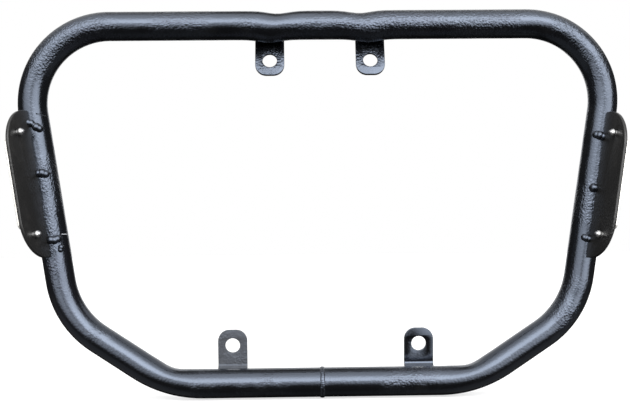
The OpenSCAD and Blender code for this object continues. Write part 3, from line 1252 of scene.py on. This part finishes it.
@dataclass
class Fasteners:
    """The blind rivets of the badges and the mandrels left in them.

    Attributes:
        plates: The plates that they hold.
        grip: Thickness that a rivet holds together.
        shank_r: Radius of the shank.
        head_r: Radius of the head.
        head_h: Height of the head.
        tail_r: Radius of the swollen blind end.
        tail_l: Length of the blind end beyond the plate.
        swell_r: Radius of the swell's section.
        swell_back: Distance of the swell's middle from the end.
        mandrel_r: Radius of the mandrel.
        clear: Gap between the mandrel and the rivet's bore.
        sink: Depth of the broken mandrel below the head's crown.
        mouth: Depth of the bore's first edge below the broken mandrel.
        crown_r: Radius of the crown on the mandrel's broken end.
        crown: Height of that crown.
        chamfer: Chamfer of the ends.
        knob_r: Radius of the mandrel's head.
        knob_h: Height of the mandrel's head.
        spin: Turn of the rivets about their axis, in radians, which differs from rivet to rivet.
        steps: Faces round a rivet.
        sharp: Angle in degrees above which an edge of theirs stays sharp.
        rivet_metal: Metal of the rivets.
        mandrel_metal: Metal of the mandrels.
    """

    plates: SidePlates
    grip: float = 4.5 * MM
    shank_r: float = 2.4 * MM
    head_r: float = 4.75 * MM
    head_h: float = 1.5 * MM
    tail_r: float = 3.1 * MM
    tail_l: float = 5.5 * MM
    swell_r: float = 2.2 * MM
    swell_back: float = 1.9 * MM
    mandrel_r: float = 1.35 * MM
    clear: float = 0.05 * MM
    sink: float = 0.9 * MM
    mouth: float = 0.5 * MM
    crown_r: float = 0.81 * MM
    crown: float = 0.15 * MM
    chamfer: float = 0.3 * MM
    knob_r: float = 2.2 * MM
    knob_h: float = 1.6 * MM
    spin: float = 0.7
    steps: int = 40
    sharp: float = 38.0
    rivet_metal: PlainMetal = PlainMetal("rivet_aluminium", (0.5, 0.5, 0.5), (0.2, 0.19, 0.18), 0.4)
    mandrel_metal: PlainMetal = PlainMetal("mandrel_steel", (0.33, 0.33, 0.34), (0.08, 0.07, 0.06), 0.42)

    def rivet_profile(self) -> list[Point2]:
        """Half section of a set rivet from its crown to its blind end, as radius and height.

        Returns:
            The section's points.
        """
        dome = (self.head_r**2 + self.head_h**2) / (2 * self.head_h)
        bore = self.mandrel_r + self.clear
        start = math.degrees(math.asin(bore / dome))
        stop = math.degrees(math.asin(min(1.0, self.head_r / dome)))
        cap = arc((0.0, self.head_h - dome), dome, 90 - start, 90 - stop, 10)
        low = -self.grip
        end = low - self.tail_l
        swell = (self.tail_r - self.swell_r, end + self.swell_back)
        rim = math.degrees(math.asin(self.swell_back / self.swell_r))
        first = math.degrees(math.acos((self.shank_r - swell[0]) / self.swell_r))
        return [
            (bore, self.head_h - self.sink - self.mouth),
            *cap,
            (self.head_r, 0.0),
            (self.shank_r, 0.0),
            (self.shank_r, low),
            *arc(swell, self.swell_r, first, -min(first, rim), 10),
            (self.shank_r, end + self.chamfer),
            (self.shank_r - self.chamfer, end),
            (bore, end),
        ]

    def mandrel_profile(self) -> list[Point2]:
        """Half section of a broken mandrel, from its end in the head to its knob.

        Returns:
            The section's points.
        """
        top, end = self.head_h - self.sink, -self.grip - self.tail_l
        return [
            (0.0, top + self.crown),
            (self.crown_r, top),
            (self.mandrel_r, top - self.chamfer),
            (self.mandrel_r, end),
            (self.knob_r, end),
            *arc((0.0, end - self.knob_h + self.knob_r), self.knob_r, -14, -90, 7),
        ]

    def lathe(self, profile: Sequence[Point2], name: str) -> bpy.types.Object:
        """Turns a half section round Z.

        Args:
            profile: Radius and height of its points.
            name: Name of the seed object.

        Returns:
            The turned seed, which isn't shown in the end.
        """
        work = bmesh.new()
        angles = [2 * math.pi * k / self.steps for k in range(self.steps)]
        rings = [[work.verts.new((r * math.cos(a), r * math.sin(a), z)) for a in angles] for r, z in profile]
        pairs = list(zip(rings, rings[1:]))
        if profile[0][0] > 0 and profile[-1][0] > 0:
            pairs.append((rings[-1], rings[0]))
        for above, below in pairs:
            for k in range(self.steps):
                n = (k + 1) % self.steps
                work.faces.new((above[k], above[n], below[n], below[k]))
        mesh = bpy.data.meshes.new(name)
        work.to_mesh(mesh)
        work.free()
        finish_mesh(mesh, self.sharp)
        return new_object(name, mesh)

    def copies(self) -> PieceTree:
        """Tree that puts a copy of a seed on each point, turned as the point says.

        Returns:
            The tree.
        """
        graph = PieceTree("set_fasteners", {"Points": "Geometry", "Seed": "Object"})
        seed = graph.wire("GeometryNodeObjectInfo", {}, {"Object": graph.given("Seed")}, "Geometry")
        turned = graph.wire("FunctionNodeEulerToRotation", {}, {0: graph.vector("turn")})
        sockets = {"Points": graph.given("Points"), "Instance": seed, "Rotation": turned}
        graph.end(graph.wire("GeometryNodeInstanceOnPoints", {}, sockets))
        return graph

    def seats(self) -> tuple[list[Vector], list[Vector]]:
        """Middle of each rivet head's seat on the badge, and each rivet's Euler angles.

        Returns:
            The places and the angles.
        """
        places, turns = [], []
        for side in Side:
            here = self.plates.frame_of(side)
            out = (here.to_3x3() @ Vector((0.0, 0.0, -1.0))).normalized()
            upright = out.to_track_quat("Z", "Y").to_matrix()
            for end in (1, -1):
                up, lift = end * self.plates.rivet_gap / 2, self.plates.thickness / 2 - self.grip
                spin = Matrix.Rotation(self.spin * end + side.value, 3, "Z")
                places.append(here @ Vector((self.plates.rivet_x, up, lift)))
                turns.append(Vector((upright @ spin).to_euler()))
        return places, turns

    def place(self, name: str, profile: Sequence[Point2], metal: PlainMetal, slot: Slot) -> None:
        """Turns a fastener and puts a copy of it on each seat.

        Args:
            name: Name of the fastener.
            profile: Its half section.
            metal: Its metal.
            slot: Its slot, which is not used.
        """
        places, turns = self.seats()
        source = point_mesh(f"{name}s", places, {"turn": turns})
        seed, finish = self.lathe(profile, f"{name}_seed"), metal.build()
        self.copies().put_on(source, {"Seed": seed, "Finish": finish})
        mesh = baked(source)
        discard(seed)
        nodes = [f"{side.word}_{end}_{name}" for side in Side for end in ("top", "bottom")]
        add_piece(f"{name}s_set", mesh, finish, nodes, self.sharp)

    def build(self) -> None:
        """Sets the rivets and their mandrels."""
        self.place("rivet", self.rivet_profile(), self.rivet_metal, Slot.RIVET_ALUMINIUM)
        self.place("mandrel", self.mandrel_profile(), self.mandrel_metal, Slot.MANDREL_STEEL)


@dataclass
class Puddle:
    """One frozen puddle of weld: an ellipsoid.

    Attributes:
        place: Its middle.
        size: Its half lengths.
        turn: Its Euler angles.
    """

    place: Vector
    size: Vector
    turn: Vector


@dataclass
class Welds:
    """All the weld beads: the seam, the plates' tacks and stitches and the tabs' roots.

    Attributes:
        ring: The ring.
        plates: The side plates.
        tabs: The tabs.
        tacks: Each plate's three tacks by their height, with their puddles: across the joint, up the
            bar and radius, all in millimetres.
        tack_r: Nominal radius of a tack.
        tack_at: Angle round the tube from the plate to the tacks' middle, in radians.
        stitch_l: Length of a stitch on a plate's outer face.
        stitch_r: Radius of a stitch.
        stitch_gap: Spacing of the stitches.
        stitch_pitch: Distance between a stitch's puddles, as a share of their radius.
        stitch_stretch: Half length of a stitch's puddle, as a share of its radius.
        root_r: Radius of a tab's root beads.
        root_pitch: Distance between a root bead's puddles, as a share of their radius.
        root_margin: Width of the tab that its beads leave free.
        stand: How far the beads stand out of their corner, as a share of their radius.
        seam_w: Width of the seam's crown.
        seam_h: Height of the seam's crown.
        seam_drops: Number of the seam's puddles.
        seam_drop: Half length of such a puddle round the tube, and its half depth.
        seam_shift: How far those puddles stray along the tube.
        seam_shrink: Largest share that one of them is smaller by.
        jitter: How far the puddles of a row stray, as a share of their radius.
        growth: Range of the change of their size, as a share.
        tack_turn: Largest turn of a tack's puddle about each axis, in radians.
        tack_growth: Range of the size of a tack's puddle over its nominal size.
        voxel: Cell size that the puddles are fused at.
        seed: Seed of the puddles' unevenness.
        coat: Finish of the tacks, the roots and the seam.
        stitch_coat: Finish of the stitches, which carry more powder.
    """

    ring: Ring
    plates: SidePlates
    tabs: Tabs
    tacks: dict[Side, dict[float, tuple[tuple[float, float, float], ...]]] = field(
        default_factory=lambda: {
            Side.LEFT: {
                50.0: ((-5.4, 3.2, 3.5), (-2.8, 2.2, 3.4), (0.8, -1.4, 4.0), (3.0, -3.2, 3.5)),
                8.0: ((-3.8, 0.8, 3.7), (-0.9, 0.4, 4.3), (2.0, -0.8, 3.7)),
                -50.0: (
                    (-2.6, 0.6, 3.7),
                    (0.4, 0.0, 4.1),
                    (3.2, 0.6, 3.5),
                    (5.0, -7.0, 2.8),
                    (4.2, -9.2, 2.4),
                ),
            },
            Side.RIGHT: {
                42.5: ((-4.4, -0.6, 3.7), (-1.4, 0.2, 4.2), (1.4, 0.6, 3.6)),
                -3.5: ((-3.8, 0.0, 3.8), (-2.0, 0.2, 4.0)),
                -47.5: ((-4.8, -0.5, 3.3), (-2.4, 0.0, 3.6), (-0.2, 0.3, 3.1)),
            },
        }
    )
    tack_r: float = 3.4 * MM
    tack_at: float = math.radians(28.4)
    stitch_l: float = 22 * MM
    stitch_r: float = 2.3 * MM
    stitch_gap: float = 32 * MM
    stitch_pitch: float = 0.9
    stitch_stretch: float = 1.5
    root_r: float = 2.5 * MM
    root_pitch: float = 0.7
    root_margin: float = 1 * MM
    stand: float = 0.3
    seam_w: float = 5.4 * MM
    seam_h: float = 0.9 * MM
    seam_drops: int = 46
    seam_drop: Span = (1.9 * MM, 2.2 * MM)
    seam_shift: float = 0.2 * MM
    seam_shrink: float = 0.04
    jitter: float = 0.07
    growth: Span = (-0.07, 0.05)
    tack_turn: float = 0.5
    tack_growth: Span = (0.92, 1.04)
    voxel: float = 0.32 * MM
    seed: int = 11
    coat: BlackCoat = BlackCoat("weld_coat", gloss=0.22, rough=0.32, relief=0.06 * MM, calm=0.3)
    stitch_coat: BlackCoat = BlackCoat("stitch_coat", gloss=0.26, rough=0.34, relief=0.3 * MM, calm=0.5)

    def row(
        self, here: Matrix, start: Vector, end: Vector, radius: float, pitch: float, stretch: float = 0.8
    ) -> list[Puddle]:
        """Row of uneven puddles between two points.

        Args:
            here: Matrix from the points' frame to the object's.
            start: First end of the bead, at its outermost.
            end: Its other end.
            radius: Mean radius of the puddles.
            pitch: Distance from one puddle to the next, as a share of the radius.
            stretch: Half length of a puddle along the bead, as a share of the radius.

        Returns:
            The puddles.
        """
        dice = random.Random(self.seed + round(start.length * 1e6) + round(end.y * 1e6))
        on = (end - start).normalized()
        first, last = start + on * radius, end - on * radius
        count = max(2, round((last - first).length / (pitch * radius)) + 1)
        turn = Vector((here.to_3x3() @ on).to_track_quat("X", "Z").to_euler())
        found = []
        for k in range(count):
            stray = Vector([dice.uniform(-1, 1) for _ in range(3)]) * radius * self.jitter
            grow = 1.0 + dice.uniform(*self.growth)
            size = Vector((stretch * radius, radius, radius)) * grow
            found.append(Puddle(here @ (first.lerp(last, k / (count - 1)) + stray), size, turn))
        return found

    def seam(self) -> list[Puddle]:
        """Puddles of the butt weld round the bottom bar's middle.

        Returns:
            The puddles.
        """
        dice = random.Random(self.seed)
        crown = self.ring.tube_r + self.seam_h
        half_l, depth = self.seam_drop
        found = []
        for k in range(self.seam_drops):
            angle = 2 * math.pi * k / self.seam_drops
            out = Vector((0.0, math.cos(angle), math.sin(angle)))
            stray = dice.uniform(-self.seam_shift, self.seam_shift)
            middle = Vector((stray, 0.0, -self.ring.top_z)) + out * (crown - depth)
            size = Vector((self.seam_w / 2, half_l, depth)) * (1.0 - self.seam_shrink * dice.random())
            turn = Matrix.Rotation(angle - math.pi / 2, 3, "X")
            found.append(Puddle(middle, size, Vector(turn.to_euler())))
        return found

    def tack_rows(self, side: Side) -> list[Puddle]:
        """Puddles of one plate's three tacks, laid from the plate over onto the tube.

        Args:
            side: Which plate.

        Returns:
            The puddles.
        """
        here = self.plates.frame_of(side)
        dice = random.Random(self.seed + side.value)
        c, s = math.cos(self.tack_at) * MM, math.sin(self.tack_at) * MM
        middle = (self.ring.tube_r - 0.25 * self.tack_r) / MM
        found = []
        for place, drops in self.tacks[side].items():
            for across, up, radius in drops:
                at = Vector((middle * c - across * s, (place + up) * MM, middle * s + across * c))
                spin = Vector([dice.uniform(-self.tack_turn, self.tack_turn) for _ in range(3)])
                size = Vector([radius * MM * dice.uniform(*self.tack_growth) for _ in range(3)])
                found.append(Puddle(here @ at, size, spin))
        return found

    def stitch_rows(self, side: Side) -> list[Puddle]:
        """Puddles of one plate's three stitches on its outer face.

        Args:
            side: Which plate.

        Returns:
            The puddles.
        """
        here = self.plates.frame_of(side)
        half_t = self.plates.thickness / 2
        corner_x = math.sqrt(self.ring.tube_r**2 - half_t**2)
        stand = self.stand * self.stitch_r
        found = []
        for k in (1, 0, -1):
            centre = Vector((corner_x + stand, k * self.stitch_gap, -half_t - stand))
            along = Vector((0.0, self.stitch_l / 2, 0.0))
            start, end = centre - along, centre + along
            found += self.row(here, start, end, self.stitch_r, self.stitch_pitch, self.stitch_stretch)
        return found

    def root_rows(self, row: Row, side: Side, face: int) -> list[Puddle]:
        """Puddles of one bead at a tab's root.

        Args:
            row: The bar that the tab is on.
            side: Which of its tabs.
            face: 1 for the leg's back and -1 for its inner face.

        Returns:
            The puddles.
        """
        plan = self.tabs.plans[row]
        here = self.tabs.bar_frame(row, side)
        slope = math.radians(self.tabs.slope)
        off = plan.step * math.cos(slope) - plan.bend_in * math.sin(slope) + face * self.tabs.thickness / 2
        stand = self.stand * self.root_r
        leg = Matrix.Rotation(-slope, 4, "X")
        up = math.sqrt(self.ring.tube_r**2 - off**2) + stand
        half = (self.tabs.width - self.root_margin) / 2
        start = Vector((-half, off + face * stand, up))
        end = Vector((half, off + face * stand, up))
        return self.row(here @ leg, start, end, self.root_r, self.root_pitch)

    def lay(self) -> PieceTree:
        """Tree that puts an ellipsoid on each point.

        Returns:
            The tree.
        """
        graph = PieceTree("lay_puddles", {"Points": "Geometry", "Rounds": "Int"})
        shape = {"Radius": 1.0, "Subdivisions": graph.given("Rounds")}
        sockets = {
            "Points": graph.given("Points"),
            "Instance": graph.wire("GeometryNodeMeshIcoSphere", {}, shape),
            "Rotation": graph.wire("FunctionNodeEulerToRotation", {}, {0: graph.vector("turn")}),
            "Scale": graph.vector("size"),
        }
        graph.end(graph.wire("GeometryNodeInstanceOnPoints", {}, sockets))
        return graph

    def fuse(
        self, name: str, puddles: Sequence[Puddle], coat: bpy.types.Material, nodes: Sequence[str]
    ) -> None:
        """Lays the puddles and fuses them into smooth beads.

        Args:
            name: Name of the piece.
            puddles: Its puddles.
            coat: Its material.
            nodes: The nodes that the piece stands for.
        """
        vectors = {key: [getattr(puddle, key) for puddle in puddles] for key in ("turn", "size")}
        source = point_mesh(name, [puddle.place for puddle in puddles], vectors)
        self.lay().put_on(source, {"Rounds": 3, "Finish": coat})
        skin = source.modifiers.new("skin", "REMESH")
        skin.mode, skin.voxel_size, skin.use_smooth_shade = "VOXEL", self.voxel, True
        ease = source.modifiers.new("ease", "SMOOTH")
        ease.factor, ease.iterations = 0.5, 9
        add_piece(f"{name}_fused", baked(source), coat, nodes, sharp=60.0)

    def build(self) -> None:
        """Lays every bead."""
        coat, stitch_coat = self.coat.build(), self.stitch_coat.build()
        ends = ("top", "middle", "bottom")
        self.fuse("seam", self.seam(), coat, ["seam_weld"])
        for side in Side:
            inner = [f"{side.word}_inner_{end}_bead" for end in ends]
            outer = [f"{side.word}_outer_{end}_bead" for end in ends]
            self.fuse(f"{side.word}_tacks", self.tack_rows(side), coat, inner)
            self.fuse(f"{side.word}_stitches", self.stitch_rows(side), stitch_coat, outer)
        for row in Row:
            puddles, nodes = [], []
            for side in Side:
                for face, word in ((1, "back"), (-1, "inner")):
                    puddles += self.root_rows(row, side, face)
                    nodes.append(f"{row.word}_{side.word}_tab_{word}_bead")
            self.fuse(f"{row.word}_roots", puddles, coat, nodes)


@dataclass(frozen=True)
class Glow:
    """A soft patch of light on the sky, the same on the left and the right.

    Attributes:
        across: Share of the distance to the side in the direction that it is brightest in.
        ahead: Share of Y in that direction.
        up: Share of Z in that direction.
        low: Sum of those shares where the patch begins.
        high: Sum where it is full.
        power: Its radiance.
    """

    across: float
    ahead: float
    up: float
    low: float
    high: float
    power: float

    def mask(self, graph: Graph, way: Sequence[Wire]) -> Wire:
        """Mask that is 1 where the patch is full.

        Args:
            graph: The sky's graph.
            way: X, Y and Z of the direction looked in.

        Returns:
            The mask.
        """
        x, y, z = way
        return graph.smooth(abs(x) * self.across + y * self.ahead + z * self.up, self.low, self.high)


@dataclass
class Studio:
    """Pale floor, soft light and the camera.

    Attributes:
        eye: Where the camera stands.
        yaw: Turn of the view to the right.
        pitch: Rise of the view.
        roll: Roll of the view.
        focal_px: Focal length in pixels of the picture.
        picture_w: Width of the picture in pixels.
        sensor_w: Width of the camera's sensor in millimetres.
        floor_r: Radius of the floor.
        floor_z: Height of the floor.
        floor_shades: The two greys that its colour wanders between.
        floor_glow: Light that the floor gives out, which leaves only a faint shadow on it.
        front: The large light, in front and above.
        core: Its brighter middle, with the radiance that it adds.
        narrow: Distances to the side between which the large light fades, and its share beyond them.
        horizon: Heights between which it comes in.
        windows: The two low lights in front, on the left and the right.
        window_skew: How much brighter the right window is than their mean.
        others: The low light far behind, the two behind the shoulders, the sides, the low sides as a floor
            gives them back, and the light from overhead.
        fill: Radiance from all round.
    """

    eye: tuple[float, float, float] = (-23.1 * MM, -874.65 * MM, -34.1 * MM)
    yaw: float = 0.02092
    pitch: float = 0.03207
    roll: float = -0.01086
    focal_px: float = 1000.0
    picture_w: float = 630.0
    sensor_w: float = 36.0
    floor_r: float = 9.0
    floor_z: float = -170.4 * MM
    floor_shades: tuple[Colour, Colour] = ((0.44, 0.44, 0.44), (0.46, 0.46, 0.46))
    floor_glow: float = 0.6
    front: Glow = Glow(0.0, -0.77, 0.64, 0.3, 1.0, 2.5)
    core: Glow = Glow(0.0, -0.88, 0.47, 0.82, 1.03, 2.2)
    narrow: tuple[float, float, float] = (0.4, 0.85, 0.2)
    horizon: Span = (0.12, 0.34)
    windows: Glow = Glow(0.5, -0.83, 0.25, 0.75, 0.97, 3.6)
    window_skew: float = 1.8
    others: tuple[Glow, ...] = (
        Glow(0.0, 0.94, 0.34, 0.8, 0.95, 1.2),
        Glow(0.5, 0.36, 0.79, 0.88, 0.96, 0.8),
        Glow(1.0, 0.0, 0.0, 0.3, 0.9, 0.03),
        Glow(0.6, 0.0, -0.8, 0.75, 0.95, 0.14),
        Glow(0.0, 0.0, 1.0, 0.0, 1.0, 0.06),
    )
    fill: float = 0.02

    def camera(self) -> None:
        """Makes the camera and makes it the scene's."""
        data = bpy.data.cameras.new("camera")
        data.sensor_fit, data.sensor_width = "HORIZONTAL", self.sensor_w
        data.lens = data.sensor_width * self.focal_px / self.picture_w
        data.clip_start, data.clip_end = 0.01, 50.0
        data.dof.use_dof = False
        level = math.cos(self.pitch)
        ahead = Vector((math.sin(self.yaw) * level, math.cos(self.yaw) * level, math.sin(self.pitch)))
        right = ahead.cross(Vector((0.0, 0.0, 1.0))).normalized()
        up = right.cross(ahead)
        rolled = right * math.cos(self.roll) + up * math.sin(self.roll)
        rolled_up = up * math.cos(self.roll) - right * math.sin(self.roll)
        made = new_object("camera", data)
        turn = Matrix((rolled, rolled_up, -ahead)).transposed().to_4x4()
        made.matrix_world = Matrix.Translation(self.eye) @ turn
        bpy.context.scene.camera = made

    def floor(self) -> None:
        """Lays the pale floor."""
        work = bmesh.new()
        bmesh.ops.create_circle(work, cap_ends=True, radius=self.floor_r, segments=96)
        mesh = bpy.data.meshes.new("floor")
        work.to_mesh(mesh)
        work.free()
        material, graph, shader = new_material("pale_floor")
        sockets = {
            "Base Color": graph.tint(graph.noise(graph.place(), 3.0), *self.floor_shades),
            "Roughness": 0.9,
            "Specular IOR Level": 0.1,
            "Emission Color": (1.0, 1.0, 1.0, 1.0),
            "Emission Strength": self.floor_glow,
        }
        graph.feed(shader, sockets)
        mesh.materials.append(material)
        mesh.transform(Matrix.Translation((0.0, 0.0, self.floor_z)))
        made = new_object("floor", mesh)
        made.visible_glossy = False
        made.visible_diffuse = False

    def light(self) -> None:
        """Lights the scene from a sky of soft patches, which the camera itself sees as white."""
        world = bpy.data.worlds.new("studio")
        world.use_nodes = True
        world.node_tree.nodes.clear()
        graph = Graph(world.node_tree)
        way = graph.split(graph.wire("ShaderNodeTexCoord", output="Generated"))
        x, _, z = way
        near, far, share = self.narrow
        large = self.front.mask(graph, way) * graph.smooth(abs(x), near, far, 1.0, share)
        large = large * graph.smooth(z, *self.horizon)
        strength = large * (self.core.mask(graph, way) * self.core.power + self.front.power)
        strength = strength + self.windows.mask(graph, way) * (x * self.window_skew + self.windows.power)
        for glow in self.others:
            strength = strength + glow.mask(graph, way) * glow.power
        white = (1.0, 1.0, 1.0, 1.0)
        lit = graph.wire("ShaderNodeBackground", {}, {"Color": white, "Strength": strength + self.fill})
        seen = graph.wire("ShaderNodeBackground", {}, {"Color": white, "Strength": 1.0})
        ray = graph.wire("ShaderNodeLightPath", output="Is Camera Ray")
        mixed = graph.wire("ShaderNodeMixShader", {}, {0: ray, 1: lit, 2: seen})
        graph.node("ShaderNodeOutputWorld", {}, {"Surface": mixed})
        bpy.context.scene.world = world

    def build(self) -> None:
        """Sets up the whole studio."""
        bpy.context.scene.view_settings.view_transform = "Standard"
        self.camera()
        self.floor()
        self.light()


def main() -> None:
    """Builds the studio and every sub-assembly in order."""
    logging.basicConfig(level=logging.INFO, format="%(name)s: %(message)s")
    Studio().build()
    ring = Ring()
    plates = SidePlates(ring)
    tabs = Tabs(ring)
    steps: list[tuple[str, Callable[[], None]]] = [
        ("ring", ring.build),
        ("side plates", plates.build),
        ("tabs", tabs.build),
        ("badges", Badges(plates).build),
        ("fasteners", Fasteners(plates).build),
        ("welds", Welds(ring, plates, tabs).build),
    ]
    for name, build in steps:
        LOG.info("building the %s", name)
        build()


if __name__ == "__main__":
    main()
